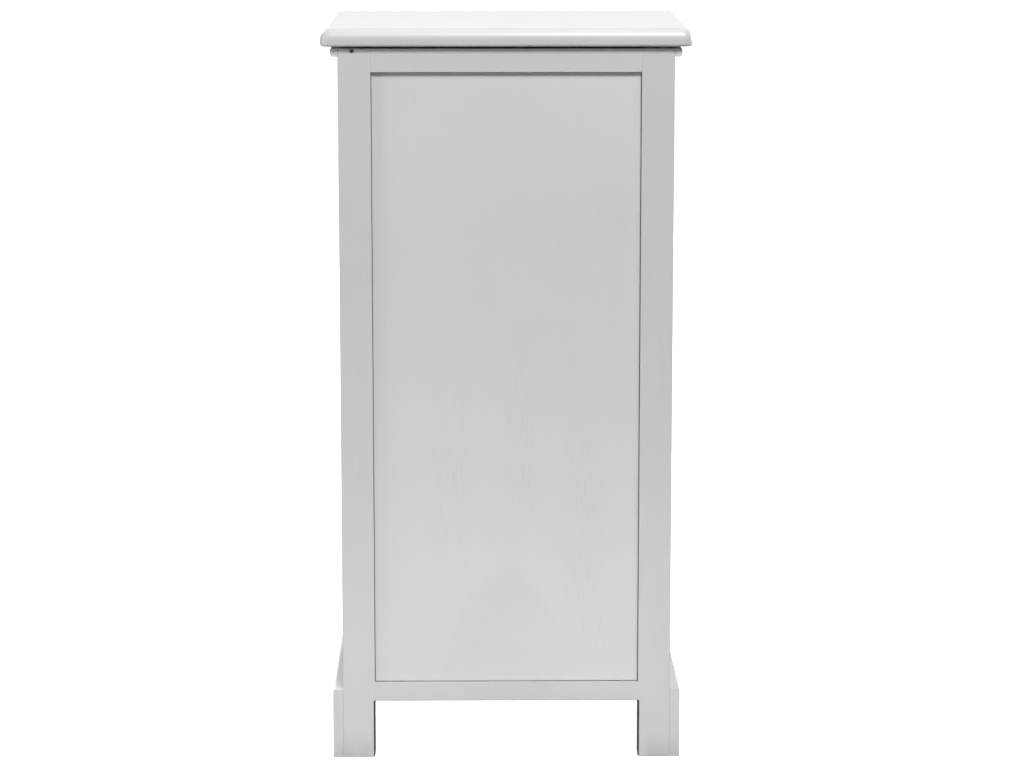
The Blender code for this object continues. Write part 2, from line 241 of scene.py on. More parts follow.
def painted_wood(name, colour, axis, gloss, grain, patches=()):
    """Paint on wood: faint grain along an axis, roller stipple, specks, sanded edges, colour darker
    towards the floor, and painted shade in a panel's sunk line.
    """
    material, tree, shader = shader_material(name)
    place = place_on_piece(tree)
    fibres = cloud(tree, drawn_out(tree, place, axis, 0.06), scale=520, detail=5, rough=0.62)
    drawn = drawn_out(tree, place, axis, 0.12)
    bands = cloud(tree, drawn, scale=55, rough=0.5, twist=0.4)
    shade = cloud(tree, place, scale=6, rough=0.5)
    stipple = cloud(tree, place, scale=1900, detail=2, rough=0.6)
    dots = cloud(tree, drawn_out(tree, place, axis, 0.5), scale=1100, detail=1, rough=0.4)

    def shaded(factor):
        return rgb([channel * factor for channel in colour])

    tone = blended(tree, rescaled(tree, shade, 0.3, 0.7), shaded(0.985), shaded(1.015))

    streaks = maths(
        tree, "MULTIPLY", rescaled(tree, fibres, 0.50, 0.72), rescaled(tree, bands, 0.42, 0.66)
    )
    share = maths(tree, "MULTIPLY", streaks, 0.45 * grain)
    for patch in patches:
        inside = maths(
            tree, "MULTIPLY", soft_patch(tree, *patch), rescaled(tree, fibres, 0.44, 0.64)
        )
        share = maths(tree, "ADD", share, maths(tree, "MULTIPLY", inside, 0.22))
    tone = blended(tree, share, tone, shaded(0.84))

    speck = maths(tree, "MULTIPLY", rescaled(tree, dots, 0.70, 0.76), 0.35)
    tone = blended(tree, speck, tone, shaded(0.7))

    # The colour darkens towards the floor, in patches, and fades out a little way above it
    unshifted = node(tree, "ShaderNodeTexCoord").outputs["Object"]
    height_above_floor = node(tree, "ShaderNodeSeparateXYZ", {0: unshifted}).outputs["Z"]
    floor_darkening = maths(
        tree, "MULTIPLY",
        rescaled(tree, height_above_floor, 0.0, FLOOR_DARKENING_HEIGHT, 1.0, 0.0),
        rescaled(tree, bands, 0.25, 0.6, 0.15, 0.4),
    )
    tone = blended(tree, floor_darkening, tone, rgb(FLOOR_DARKENING_COLOUR))

    arris = node(tree, "ShaderNodeAttribute", attribute_name="arris").outputs["Fac"]
    worn = maths(tree, "MULTIPLY", arris, rescaled(tree, bands, 0.45, 0.7, 0.05, 0.5))
    tone = blended(tree, worn, tone, shaded(0.82))
    # Painted shade: points at the bottom of a panel's sunk line, and in a faint fade beside it, are
    # darkened towards the shade colour
    painted_shade = node(tree, "ShaderNodeAttribute", attribute_name="painted_shade").outputs["Fac"]
    tone = blended(tree, painted_shade, tone, rgb(PAINTED_SHADE_COLOUR))
    tree.links.new(tone, shader.inputs["Base Color"])

    roughness = rescaled(tree, bands, 0.25, 0.75, gloss - 0.06 * grain, gloss + 0.08 * grain)
    tree.links.new(roughness, shader.inputs["Roughness"])
    shader.inputs["IOR"].default_value = PAINT_IOR
    relief = maths(
        tree, "ADD",
        maths(tree, "MULTIPLY", fibres, 0.6 * grain),
        maths(tree, "ADD", maths(tree, "MULTIPLY", stipple, 0.35), maths(tree, "MULTIPLY", bands, 0.12)),
    )
    bumped(tree, shader, relief, 0.25 + 0.4 * grain, GRAIN_DEPTH)
    return material


def bare_wood(name, axis):
    """Sanded unpainted softwood, with growth rings, fibres and small pores along an axis."""
    material, tree, shader = shader_material(name)
    place = place_on_piece(tree)
    warped = cloud(tree, drawn_out(tree, place, axis, 0.12), scale=14, rough=0.5, twist=0.8)
    rings = maths(tree, "SINE", maths(tree, "MULTIPLY", warped, RING_COUNT))
    fibres = cloud(tree, drawn_out(tree, place, axis, 0.04), scale=900, detail=4, rough=0.65)
    pores = cloud(tree, drawn_out(tree, place, axis, 0.15), scale=1600, detail=2, rough=0.5)
    patch = cloud(tree, place, scale=7, detail=2)

    tone = blended(tree, rescaled(tree, patch, 0.3, 0.7), rgb(WOOD_DULL), rgb(WOOD_PALE))
    tone = blended(tree, rescaled(tree, rings, 0.1, 1.0, 0.0, 0.6), tone, rgb(WOOD_RING))
    tone = blended(tree, rescaled(tree, fibres, 0.45, 0.75, 0.0, 0.4), tone, rgb(WOOD_FIBRE))
    tone = blended(tree, rescaled(tree, pores, 0.68, 0.76, 0.0, 0.6), tone, rgb(WOOD_PORE))
    tree.links.new(tone, shader.inputs["Base Color"])
    roughness = rescaled(tree, fibres, 0.3, 0.7, 0.58, 0.78)
    tree.links.new(roughness, shader.inputs["Roughness"])
    relief = maths(tree, "ADD", maths(tree, "MULTIPLY", rings, 0.25), fibres)
    bumped(tree, shader, relief, 0.5, GRAIN_DEPTH)
    return material


def metal(name, bright, tarnished, roughness):
    """Metal with cloudy tarnish, fine turning scratches and small pits."""
    material, tree, shader = shader_material(name)
    place = place_on_piece(tree)
    tarnish = cloud(tree, place, scale=130, detail=4, rough=0.6, twist=0.5)
    scratches = cloud(tree, drawn_out(tree, place, "y", 12.0), scale=400)
    pits = cloud(tree, place, scale=2200, detail=1)
    tone = blended(tree, rescaled(tree, tarnish, 0.38, 0.66), rgb(bright), rgb(tarnished))
    pitted = [channel * 0.5 for channel in tarnished]
    tone = blended(tree, rescaled(tree, pits, 0.68, 0.76, 0.0, 0.5), tone, rgb(pitted))
    tree.links.new(tone, shader.inputs["Base Color"])
    shader.inputs["Metallic"].default_value = 1.0
    rough = rescaled(tree, tarnish, 0.3, 0.7, roughness - 0.08, roughness + 0.16)
    tree.links.new(rough, shader.inputs["Roughness"])
    bumped(tree, shader, maths(tree, "ADD", scratches, pits), 0.14, SCRATCH_DEPTH)
    return material


def painted_shadow_wood():
    """Near-black bare wood on the inner faces of the rear feet: painted shadow, for the shade those faces
    lie in.
    """
    material, tree, shader = shader_material("painted_shadow_foot")
    drawn = drawn_out(tree, place_on_piece(tree), "z", 0.08)
    fibres = cloud(tree, drawn, scale=500, detail=4)
    share = rescaled(tree, fibres, 0.35, 0.7)
    tone = blended(tree, share, rgb(FOOT_SHADOW_BLACK), rgb(FOOT_SHADOW_BROWN))
    tree.links.new(tone, shader.inputs["Base Color"])
    shader.inputs["Roughness"].default_value = 0.85
    bumped(tree, shader, fibres, 0.4, GRAIN_DEPTH)
    return material


# Each slot's linear colour, roughness and share of grain, and the patches where the grain shows most:
# each patch's centre and half size are (x, z)
PAINTS = {
    "top_paint": ((0.522, 0.522, 0.527), 0.33, 0.2, ()),
    "frame_paint": ((0.53, 0.53, 0.527), 0.48, 0.6, ()),
    "panel_paint": (
        (0.585, 0.585, 0.577), 0.55, 0.5,
        (
            ((0.060, 0.33), (0.030, 0.12)),
            ((-0.012, 0.36), (0.022, 0.13)),
            ((-0.084, 0.25), (0.030, 0.17)),
        ),
    ),
    "drawer_paint": ((0.60, 0.60, 0.59), 0.44, 0.6, ()),
    "inner_paint": ((0.56, 0.56, 0.545), 0.55, 0.8, ()),
}
# Each metal's bright colour, tarnished colour and roughness
BRASS = ((0.44, 0.31, 0.14), (0.20, 0.13, 0.055), 0.30)
DARK_STEEL = ((0.045, 0.045, 0.047), (0.02, 0.016, 0.013), 0.42)
# the colour that the paint darkens towards near the floor
FLOOR_DARKENING_COLOUR = (0.30, 0.29, 0.27)
# colour of the painted shade at the bottom of a panel's sunk line and in the fade beside it
PAINTED_SHADE_COLOUR = (0.07, 0.068, 0.065)
WOOD_DULL = (0.60, 0.43, 0.26)
WOOD_PALE = (0.68, 0.52, 0.34)
WOOD_RING = (0.43, 0.26, 0.13)
WOOD_FIBRE = (0.36, 0.22, 0.11)
WOOD_PORE = (0.16, 0.09, 0.045)
# near-black colours painted on the rear feet's inner faces as shadow
FOOT_SHADOW_BLACK = (0.008, 0.0075, 0.007)
FOOT_SHADOW_BROWN = (0.03, 0.027, 0.024)
FLOOR_COLOUR = (0.86, 0.86, 0.865)
BACKDROP_COLOUR = (1, 1, 1)
PAINT_IOR = 1.46
GRAIN_DEPTH = 0.0002  # of the relief in wood and in paint on it
SCRATCH_DEPTH = 0.00004
RING_COUNT = 62.0  # how closely the growth rings follow each other
PATTERN_SHIFT = (7.3, 11.9, 5.1)  # the furthest that a piece's pattern is moved
WORLD_COLOUR = (0.985, 0.99, 1.0, 1.0)
WORLD_BRIGHT = 0.29  # strength on the drawers' side
WORLD_DIM = 0.09
made_materials = {}


def finish_of(slot, axis="z"):
    """The material of a slot, with its grain along an axis."""
    key = (slot, axis)
    if key not in made_materials:
        name = f"{slot}_{axis}"
        if slot in PAINTS:
            colour, gloss, grain, patches = PAINTS[slot]
            made = painted_wood(name, colour, axis, gloss, grain, patches)
        elif slot == "bare_wood":
            made = bare_wood(name, axis)
        elif slot == "painted_shadow_wood":
            made = painted_shadow_wood()
        else:
            made = metal(name, *(BRASS if slot == "brass" else DARK_STEEL))
        made_materials[key] = made
    return made_materials[key]


# ---------------------------------------------------------------- shaping helpers
def body_with(cad_node):
    """The name of the moving body that a CAD node belongs to."""
    for body, members in frame["record"]["behaviour"]["bodies"].items():
        if cad_node in members:
            return body


def add_piece(name, builder, materials, nodes, crease=35):
    """Turns a bmesh into a piece that stands for CAD nodes and rides on their body."""
    bmesh.ops.recalc_face_normals(builder, faces=builder.faces)
    mesh = bpy.data.meshes.new(name)
    builder.to_mesh(mesh)
    builder.free()
    for material in materials:
        mesh.materials.append(material)
    mesh.shade_smooth()
    mesh.set_sharp_from_angle(angle=math.radians(crease))
    for face in mesh.polygons:
        if max(abs(part) for part in face.normal) > SQUARE_ON:
            face.use_smooth = False
    piece = bpy.data.objects.new(name, mesh)
    bpy.context.scene.collection.objects.link(piece)
    flat = piece.modifiers.new("flat_faces_stay_flat", "WEIGHTED_NORMAL")
    flat.keep_sharp = True
    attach(piece, body_with(nodes[0]))
    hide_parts(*nodes)
    return piece


def box_builder(low, high):
    """A bmesh of a plain box between two corners."""
    builder = bmesh.new()
    bmesh.ops.create_cube(builder, size=1.0)
    size = Vector(high) - Vector(low)
    middle = (Vector(high) + Vector(low)) / 2
    bmesh.ops.transform(
        builder, matrix=Matrix.Translation(middle) @ Matrix.Diagonal((*size, 1.0)), verts=builder.verts
    )
    return builder


def on_face(point, low, high, face):
    """Whether a point lies on a box's face, such as "+x"."""
    axis = AXES.index(face[1])
    level = high[axis] if face[0] == "+" else low[axis]
    return abs(point[axis] - level) < NEAR


def lies_on(edge, low, high, name):
    """Whether a mesh edge lies on a box's edge, such as "-x+y"."""
    return all(
        on_face(vert.co, low, high, name[:2]) and on_face(vert.co, low, high, name[2:])
        for vert in edge.verts
    )


def round_edges(builder, radius, steps, test):
    """Rounds the edges that pass the test."""
    edges = [edge for edge in builder.edges if test(edge)]
    if edges:
        bmesh.ops.bevel(
            builder, geom=edges, offset=radius, segments=steps, profile=0.5, affect="EDGES",
            clamp_overlap=True,
        )


def mark_arrises(builder, low, high, edges, radius):
    """Stores 1 on the points of the named rounded edges, which lie just inside two faces of the box."""
    layer = builder.verts.layers.float.new("arris")

    def just_inside(point, face):
        axis = AXES.index(face[1])
        depth = high[axis] - point[axis] if face[0] == "+" else point[axis] - low[axis]
        return NEAR < depth < radius * 0.98

    for vert in builder.verts:
        rounded = any(
            just_inside(vert.co, name[:2]) and just_inside(vert.co, name[2:]) for name in edges
        )
        vert[layer] = 1.0 if rounded else 0.0


def eased_box(low, high, soft_edges=(), soft=SOFT):
    """A board with the named edges sanded round and the others only just broken."""
    builder = box_builder(low, high)

    def is_soft(edge):
        return any(lies_on(edge, low, high, name) for name in soft_edges)

    def is_crisp(edge):
        faces = [f"{sign}{axis}" for axis in AXES for sign in "-+"]
        shared = [
            face for face in faces if all(on_face(vert.co, low, high, face) for vert in edge.verts)
        ]
        return len(shared) == 2 and edge.calc_length() > 4 * CRISP

    round_edges(builder, soft, SOFT_STEPS, is_soft)
    round_edges(builder, CRISP, CRISP_STEPS, is_crisp)
    mark_arrises(builder, low, high, soft_edges, soft)
    return builder


def make_board(cad_node, slot, axis, soft_edges=(), grow=(0, 0, 0)):
    """A board in the place of its CAD node, its grain along an axis, and made longer to close gaps."""
    low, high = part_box(cad_node)
    low -= Vector(grow)
    high += Vector(grow)
    builder = eased_box(low, high, soft_edges)
    return add_piece(f"{cad_node}_board", builder, [finish_of(slot, axis)], [cad_node])


def outline_at(centre, half, inset, corner, steps):
    """A rectangle's points, drawn in by the inset, with rounded corners if it has any."""
    radius = max(corner - inset, 0.0)
    width, height = half[0] - inset, half[1] - inset
    if not steps:
        return [
            (centre[0] + sx * width, centre[1] + sy * height)
            for sx, sy in ((1, 1), (-1, 1), (-1, -1), (1, -1))
        ]
    points = []
    for turn, (sx, sy) in enumerate(((1, 1), (-1, 1), (-1, -1), (1, -1))):
        for step in range(steps + 1):
            angle = math.radians(90) * (turn + step / steps)
            points.append((
                centre[0] + sx * (width - radius) + radius * math.cos(angle),
                centre[1] + sy * (height - radius) + radius * math.sin(angle),
            ))
    return points


def shaped_plate(low, high, face, profile, corner=0.0, steps=0):
    """A plate whose outline changes with height: profile is (inset, height) from its back to its face.

    The face is named by its direction, such as "+y", and the back's height is 0.
    """
    axis = AXES.index(face[1])
    others = [index for index in range(3) if index != axis]
    centre = [(low[index] + high[index]) / 2 for index in others]
    half = [(high[index] - low[index]) / 2 for index in others]
    builder = bmesh.new()
    loops = []
    for inset, height in profile:
        level = low[axis] + height if face[0] == "+" else high[axis] - height
        loop = []
        for point in outline_at(centre, half, inset, corner, steps):
            place = Vector()
            place[axis] = level
            place[others[0]], place[others[1]] = point
            loop.append(builder.verts.new(place))
        loops.append(loop)
    for lower, upper in zip(loops, loops[1:]):
        for index in range(len(lower)):
            after = (index + 1) % len(lower)
            builder.faces.new((lower[index], lower[after], upper[after], upper[index]))
    builder.faces.new(list(reversed(loops[0])))
    builder.faces.new(loops[-1])
    return builder


def quarter(start, end, bulge, steps):
    """Points of a quarter of an ellipse between two (inset, height) points.

    With an "early" bulge it sets off along the height, and with a "late" one along the inset.
    """
    points = []
    for step in range(steps + 1):
        angle = math.radians(90) * step / steps
        along, across = math.sin(angle), 1 - math.cos(angle)
        if bulge == "late":
            along, across = across, along
        points.append((
            start[0] + (end[0] - start[0]) * across,
            start[1] + (end[1] - start[1]) * along,
        ))
    return points


def sliced(builder, axis, spacing):
    """Cuts the mesh across an axis at even spaces, so that its faces can be shaped."""
    index = AXES.index(axis)
    places = [vert.co[index] for vert in builder.verts]
    count = int((max(places) - min(places)) / spacing)
    normal = Vector()
    normal[index] = 1.0
    for cut in range(1, count + 1):
        at = Vector()
        at[index] = min(places) + (max(places) - min(places)) * cut / (count + 1)
        geometry = builder.verts[:] + builder.edges[:] + builder.faces[:]
        bmesh.ops.bisect_plane(builder, geom=geometry, plane_co=at, plane_no=normal, dist=CUT_MERGE)


# ---------------------------------------------------------------- top
def make_top():
    """The bullnosed top board."""
    low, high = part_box("top_board")
    thick = high.z - low.z
    below = quarter((TOP_ROUND_BELOW, 0), (0, TOP_ROUND_BELOW), "late", ROUND_STEPS)
    above = quarter((0, thick - TOP_ROUND_DOWN), (TOP_ROUND_IN, thick), "early", ROUND_STEPS)
    builder = shaped_plate(low, high, "+z", below + above, TOP_CORNER, ROUND_STEPS)
    sliced(builder, "x", 4 * FIELD_SPACING)
    sliced(builder, "y", 4 * FIELD_SPACING)
    for vert in builder.verts:
        if high.z - vert.co.z < NEAR:
            vert.co.z -= FIELD_WAVES * (0.5 + 0.5 * noise.noise(vert.co * TOP_WAVE_SCALE))
    paint = finish_of("top_paint", "x")
    add_piece("top_board_bullnosed", builder, [paint], ["top_board"], 30)


def strip(cad_node, outline, along, start, end, mitres):
    """A moulded strip: an outline of (out, z) points run from start to end, mitred where asked.

    Along is "y" for a side strip and "x" for the front one; out is measured away from the body.
    """
    low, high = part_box(cad_node)
    builder = bmesh.new()
    loops = []
    for place, mitred, inward in ((start, mitres[0], 1), (end, mitres[1], -1)):
        loop = []
        for out, z in outline:
            shift = -inward * out if mitred else 0.0
            if along == "y":
                x = (low.x - TOUCH + out) if low.x > 0 else (high.x + TOUCH - out)
                loop.append(builder.verts.new((x, place + shift, z)))
            else:
                loop.append(builder.verts.new((place + shift, high.y + TOUCH - out, z)))
        loops.append(loop)
    for index in range(len(outline)):
        after = (index + 1) % len(outline)
        builder.faces.new((loops[0][index], loops[0][after], loops[1][after], loops[1][index]))
    builder.faces.new(loops[0])
    builder.faces.new(list(reversed(loops[1])))
    paint = finish_of("frame_paint", along)
    add_piece(f"{cad_node}_strip", builder, [paint], [cad_node], 30)


def make_mouldings():
    """Strips tucked under the top, with a rounded lower edge and mitred front corners."""
    low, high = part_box("moulding_left")
    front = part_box("moulding_front")
    out = high.x - low.x + TOUCH
    outline = [(0, high.z), (0, low.z)]
    for step in range(ROUND_STEPS + 1):
        angle = math.radians(90) * step / ROUND_STEPS
        outline.append((
            out - STRIP_ROUND * (1 - math.sin(angle)), low.z + STRIP_ROUND * (1 - math.cos(angle))
        ))
    outline += [(out, high.z - CRISP), (out - CRISP, high.z)]
    body_front = front[1].y + TOUCH
    for side in ("left", "right"):
        strip(f"moulding_{side}", outline, "y", body_front, high.y, (True, False))
    start, end = front[0].x + out, front[1].x - out
    strip("moulding_front", outline, "x", start, end, (True, True))


# ---------------------------------------------------------------- frame and panels
def make_leg(cad_node, outer_edge, inner_edge=None):
    """A leg, cut across at the rail and at the skirt's top; its outer edge is sanded above the skirt.

    Where an inner edge is named, the foot's inner face and that edge are painted near-black as shadow.
    """
    low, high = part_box(cad_node)
    skirt_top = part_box("front_skirt")[1].z
    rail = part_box("rear_bottom_rail")[0].z
    builder = box_builder(low, high)
    for level in (rail, skirt_top):
        geometry = builder.verts[:] + builder.edges[:] + builder.faces[:]
        bmesh.ops.bisect_plane(
            builder, geom=geometry, plane_co=(0, 0, level), plane_no=(0, 0, 1), dist=CUT_MERGE
        )

    def along(edge, name, bottom, top):
        return lies_on(edge, low, high, name) and all(
            bottom - NEAR < vert.co.z < top + NEAR for vert in edge.verts
        )

    def at_bottom(edge):
        return all(vert.co.z < NEAR for vert in edge.verts)

    round_edges(builder, FOOT_EDGE, CRISP_STEPS, at_bottom)
    round_edges(builder, SOFT, SOFT_STEPS, lambda edge: along(edge, outer_edge, skirt_top, high.z))
    round_edges(builder, CRISP, 1, lambda edge: along(edge, outer_edge, 0, skirt_top))
    if inner_edge:
        round_edges(builder, FOOT_EDGE, CRISP_STEPS, lambda edge: along(edge, inner_edge, 0, rail))
        axis = AXES.index(inner_edge[1])
        inner = high[axis] if inner_edge[0] == "+" else low[axis]
        # Painted shadow: the foot's inner face and its rounded edge below the rail take the near-black
        # second material
        for face in builder.faces:
            middle = face.calc_center_median()
            if abs(middle[axis] - inner) < 0.8 * FOOT_EDGE and middle.z < rail:
                face.material_index = 1
    mark_arrises(builder, low, high, (outer_edge,), SOFT)
    materials = [finish_of("frame_paint", "z"), finish_of("painted_shadow_wood")]
    add_piece(f"{cad_node}_board", builder, materials, [cad_node])


def make_frame():
    """The legs, rails and bottom board; a rail's ends are drawn out to close the gaps at the legs."""
    for side, outer in (("left", "-"), ("right", "+")):
        inner = "+" if outer == "-" else "-"
        make_leg(f"rear_leg_{side}", f"{outer}x+y", f"{inner}x+y")
        make_leg(f"front_leg_{side}", f"{outer}x-y")
        make_board(f"side_top_rail_{side}", "frame_paint", "y", grow=(0, TOUCH, 0))
        make_board(
            f"side_bottom_rail_{side}", "frame_paint", "y", (f"{outer}x-z",), grow=(0, TOUCH, 0)
        )
    make_board("rear_top_rail", "frame_paint", "x", grow=(TOUCH, 0, 0))
    make_board("rear_bottom_rail", "frame_paint", "x", ("+y-z",), grow=(TOUCH, 0, 0))
    make_board("front_top_rail", "frame_paint", "x", grow=(TOUCH, 0, 0))
    make_board("front_bottom_rail", "frame_paint", "x", ("-y-z",), grow=(TOUCH, 0, 0))
    make_board("cabinet_bottom", "inner_paint", "x")


def make_panel(cad_node, face):
    """A thin panel: a faintly wavy field inside a narrow sunk line, and a tongue behind the frame; the
    line's bottom and a faint fade beside it are painted shade.
    """
    low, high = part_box(cad_node)
    axis = AXES.index(face[1])
    thick = high[axis] - low[axis]
    field = PANEL_TONGUE + LINE_WIDTH
    profile = [
        (0, 0), (0, thick - LINE_DEPTH), (field, thick - LINE_DEPTH), (field, thick - FIELD_EASE),
        (field + 0.3 * FIELD_EASE, thick - 0.3 * FIELD_EASE), (field + FIELD_EASE, thick),
        (field + PAINTED_SHADE_FADE_WIDTH, thick),
    ]
    builder = shaped_plate(low, high, face, profile)
    across = [name for name in AXES if name != face[1]]
    for name in across:
        sliced(builder, name, FIELD_SPACING)
    level = high[axis] if face[0] == "+" else low[axis]
    outward = 1 if face[0] == "+" else -1
    bottom_of_line = level - outward * LINE_DEPTH
    # Painted shade: 1 at the bottom of the sunk line, and a faint fade on the field's border beside it
    painted_shade = builder.verts.layers.float.new("painted_shade")
    others = [AXES.index(name) for name in across]
    for vert in builder.verts:
        inward = min(
            min(vert.co[other] - low[other], high[other] - vert.co[other]) for other in others
        )
        at_border = max(0.0, 1 - max(inward - field, 0.0) / PAINTED_SHADE_FADE_WIDTH)
        vert[painted_shade] = PAINTED_SHADE_FADE_SHARE * at_border ** 2
        if abs(vert.co[axis] - bottom_of_line) < NEAR:
            vert[painted_shade] = 1.0
        if abs(vert.co[axis] - level) < NEAR:
            spot = vert.co * Vector(PANEL_WAVE_SCALE)
            vert.co[axis] -= outward * FIELD_WAVES * (0.5 + 0.5 * noise.noise(spot))
    paint = finish_of("panel_paint", "z")
    add_piece(f"{cad_node}_field", builder, [paint], [cad_node], 30)


def cross_outline(reach, width):
    """The cross recess of a screw, with twelve corners."""
    outline = []
    for turn in range(4):
        rotate = Matrix.Rotation(math.radians(90) * turn, 2)
        corners = ((reach, -width / 2), (reach, width / 2), (width / 2, width / 2))
        outline += [rotate @ Vector(corner) for corner in corners]
    return outline


def cut_away(piece, outline, centre, low_y, high_y):
    """Cuts an (x, z) outline round the centre out of a piece, from low_y to high_y."""
    builder = bmesh.new()
    loops = [
        [builder.verts.new((centre.x + point.x, y, centre.z + point.y)) for point in outline]
        for y in (low_y, high_y)
    ]
    for index in range(len(outline)):
        after = (index + 1) % len(outline)
        builder.faces.new((loops[0][index], loops[0][after], loops[1][after], loops[1][index]))
    builder.faces.new(list(reversed(loops[0])))
    builder.faces.new(loops[1])
    bmesh.ops.recalc_face_normals(builder, faces=builder.faces)
    mesh = bpy.data.meshes.new("cutter")
    builder.to_mesh(mesh)
    builder.free()
    cutter = bpy.data.objects.new("cutter", mesh)
    bpy.context.scene.collection.objects.link(cutter)
    flat = piece.modifiers["flat_faces_stay_flat"]
    flat.show_viewport = False
    boolean = piece.modifiers.new("cut", "BOOLEAN")
    boolean.object = cutter
    graph = bpy.context.evaluated_depsgraph_get()
    graph.update()
    piece.data = bpy.data.meshes.new_from_object(piece.evaluated_get(graph))
    piece.modifiers.remove(boolean)
    flat.show_viewport = True
    bpy.data.objects.remove(cutter)


def turned(profile, centre, sides):
    """A solid turned about a line along Y through the centre, from (radius, y) points."""
    builder = bmesh.new()
    loops = []
    for radius, y in profile:
        count = 1 if radius == 0 else sides
        loop = []
        for index in range(count):
            angle = math.tau * index / sides
            place = (centre.x + radius * math.cos(angle), y, centre.z + radius * math.sin(angle))
            loop.append(builder.verts.new(place))
        loops.append(loop)
    for lower, upper in zip(loops, loops[1:]):
        for index in range(sides):
            after = (index + 1) % sides
            corners = [
                lower[index % len(lower)], lower[after % len(lower)],
                upper[after % len(upper)], upper[index % len(upper)],
            ]
            builder.faces.new(list(dict.fromkeys(corners)))
    return builder


def make_screw():
    """A countersunk cross-head screw, in a sink cut in the rear leg."""
    low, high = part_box("rear_screw")
    centre = (low + high) / 2
    radius = (high.x - low.x) / 2
    profile = [
        (0, high.y), (radius - RIM_EDGE_IN, high.y), (radius, high.y - RIM_EDGE_DOWN),
        (radius, high.y - SCREW_RIM), (SCREW_SHANK, high.y - SCREW_TAPER), (SCREW_SHANK, low.y),
        (0, low.y),
    ]
    piece = add_piece(
        "rear_screw_cross_head", turned(profile, centre, SCREW_SIDES), [finish_of("dark_steel")],
        ["rear_screw"], 30,
    )
    cross = cross_outline(CROSS_REACH, CROSS_WIDTH)
    cut_away(piece, cross, centre, high.y - CROSS_DEPTH, high.y + CROSS_DEPTH)
    sink = []
    for step in range(SCREW_SIDES):
        angle = math.tau * step / SCREW_SIDES
        sink.append((radius + SINK_ROOM) * Vector((math.cos(angle), math.sin(angle))))
    leg = bpy.data.objects["rear_leg_right_board"]
    cut_away(leg, sink, centre, high.y - SINK_DEPTH, high.y + SINK_DEPTH)


# ---------------------------------------------------------------- base
def arched_outline(start, end, top):
    """A skirt board's outline: a foot at each end and a round-cornered arch between them."""
    outline = [(start, 0), (start, top), (end, top), (end, 0)]
    for foot_edge, inward in ((end - SKIRT_FOOT_WIDTH, -1), (start + SKIRT_FOOT_WIDTH, 1)):
        centre = (foot_edge + inward * ARCH_RADIUS, ARCH_HEIGHT - ARCH_RADIUS)
        corner = [(foot_edge, 0)]
        for step in range(ARCH_STEPS + 1):
            angle = math.radians(90) * step / ARCH_STEPS
            corner.append((
                centre[0] - inward * ARCH_RADIUS * math.cos(angle),
                centre[1] + ARCH_RADIUS * math.sin(angle),
            ))
        outline += corner if inward < 0 else reversed(corner)
    return outline


def make_skirt(cad_node, along, outer_face, mitres):
    """An arched skirt board, rounded along its top, and mitred at the front corners."""
    low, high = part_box(cad_node)
    run = AXES.index(along)
    across = AXES.index(outer_face[1])
    outward = 1 if outer_face[0] == "+" else -1
    outer = high[across] if outward > 0 else low[across]
    inner = (low[across] if outward > 0 else high[across]) - outward * TOUCH
    thick = abs(outer - inner)
    start, end = low[run], high[run]
    if along == "y":
        start -= thick
    builder = bmesh.new()
    loops = []
    for level, is_inner in ((inner, True), (outer, False)):
        loop = []
        for place, z in arched_outline(start, end, high.z):
            point = Vector((0, 0, z))
            point[across] = level
            point[run] = place
            if is_inner and mitres[0] and place == start:
                point[run] += thick
            if is_inner and mitres[1] and place == end:
                point[run] -= thick
            loop.append(builder.verts.new(point))
        loops.append(loop)
    count = len(loops[0])
    for index in range(count):
        after = (index + 1) % count
        builder.faces.new((loops[0][index], loops[0][after], loops[1][after], loops[1][index]))
    builder.faces.new(list(reversed(loops[0])))
    builder.faces.new(loops[1])

    def outside(edge):
        return all(abs(vert.co[across] - outer) < NEAR for vert in edge.verts)

    def at_top(edge):
        return outside(edge) and all(abs(vert.co.z - high.z) < NEAR for vert in edge.verts)

    def at_arch(edge):
        return outside(edge) and not at_top(edge) and any(
            0 < vert.co.z < high.z - 2 * SKIRT_TOP_ROUND for vert in edge.verts
        )

    round_edges(builder, SKIRT_TOP_ROUND, SOFT_STEPS, at_top)
    round_edges(builder, 0.7 * SOFT, CRISP_STEPS, at_arch)
    layer = builder.verts.layers.float.new("arris")
    for vert in builder.verts:
        depth = abs(vert.co[across] - outer)
        vert[layer] = 1.0 if NEAR < depth < SKIRT_TOP_ROUND * 0.9 else 0.0
    paint = finish_of("frame_paint", along)
    add_piece(f"{cad_node}_board", builder, [paint], [cad_node], 30)


# ---------------------------------------------------------------- inner boards
def make_inner_board(cad_node, axis):
    """A shelf or the partition, as the CAD node has it, with its front edges broken."""
    low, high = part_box(cad_node)
    builder = bmesh.new()
    builder.from_mesh(frame["nodes"][cad_node].data)
    bmesh.ops.remove_doubles(builder, verts=builder.verts, dist=NEAR)
    bmesh.ops.dissolve_limit(
        builder, angle_limit=math.radians(1), verts=builder.verts, edges=builder.edges
    )
    front_edges = ("-y-z", "-y+z", "-x-y", "+x-y")

    def at_front(edge):
        return edge.calc_length() > 4 * CRISP and any(
            lies_on(edge, low, high, name) for name in front_edges
        )

    round_edges(builder, 2 * CRISP, CRISP_STEPS, at_front)
    mark_arrises(builder, low, high, front_edges, 2 * CRISP)
    paint = finish_of("inner_paint", axis)
    add_piece(f"{cad_node}_board", builder, [paint], [cad_node])


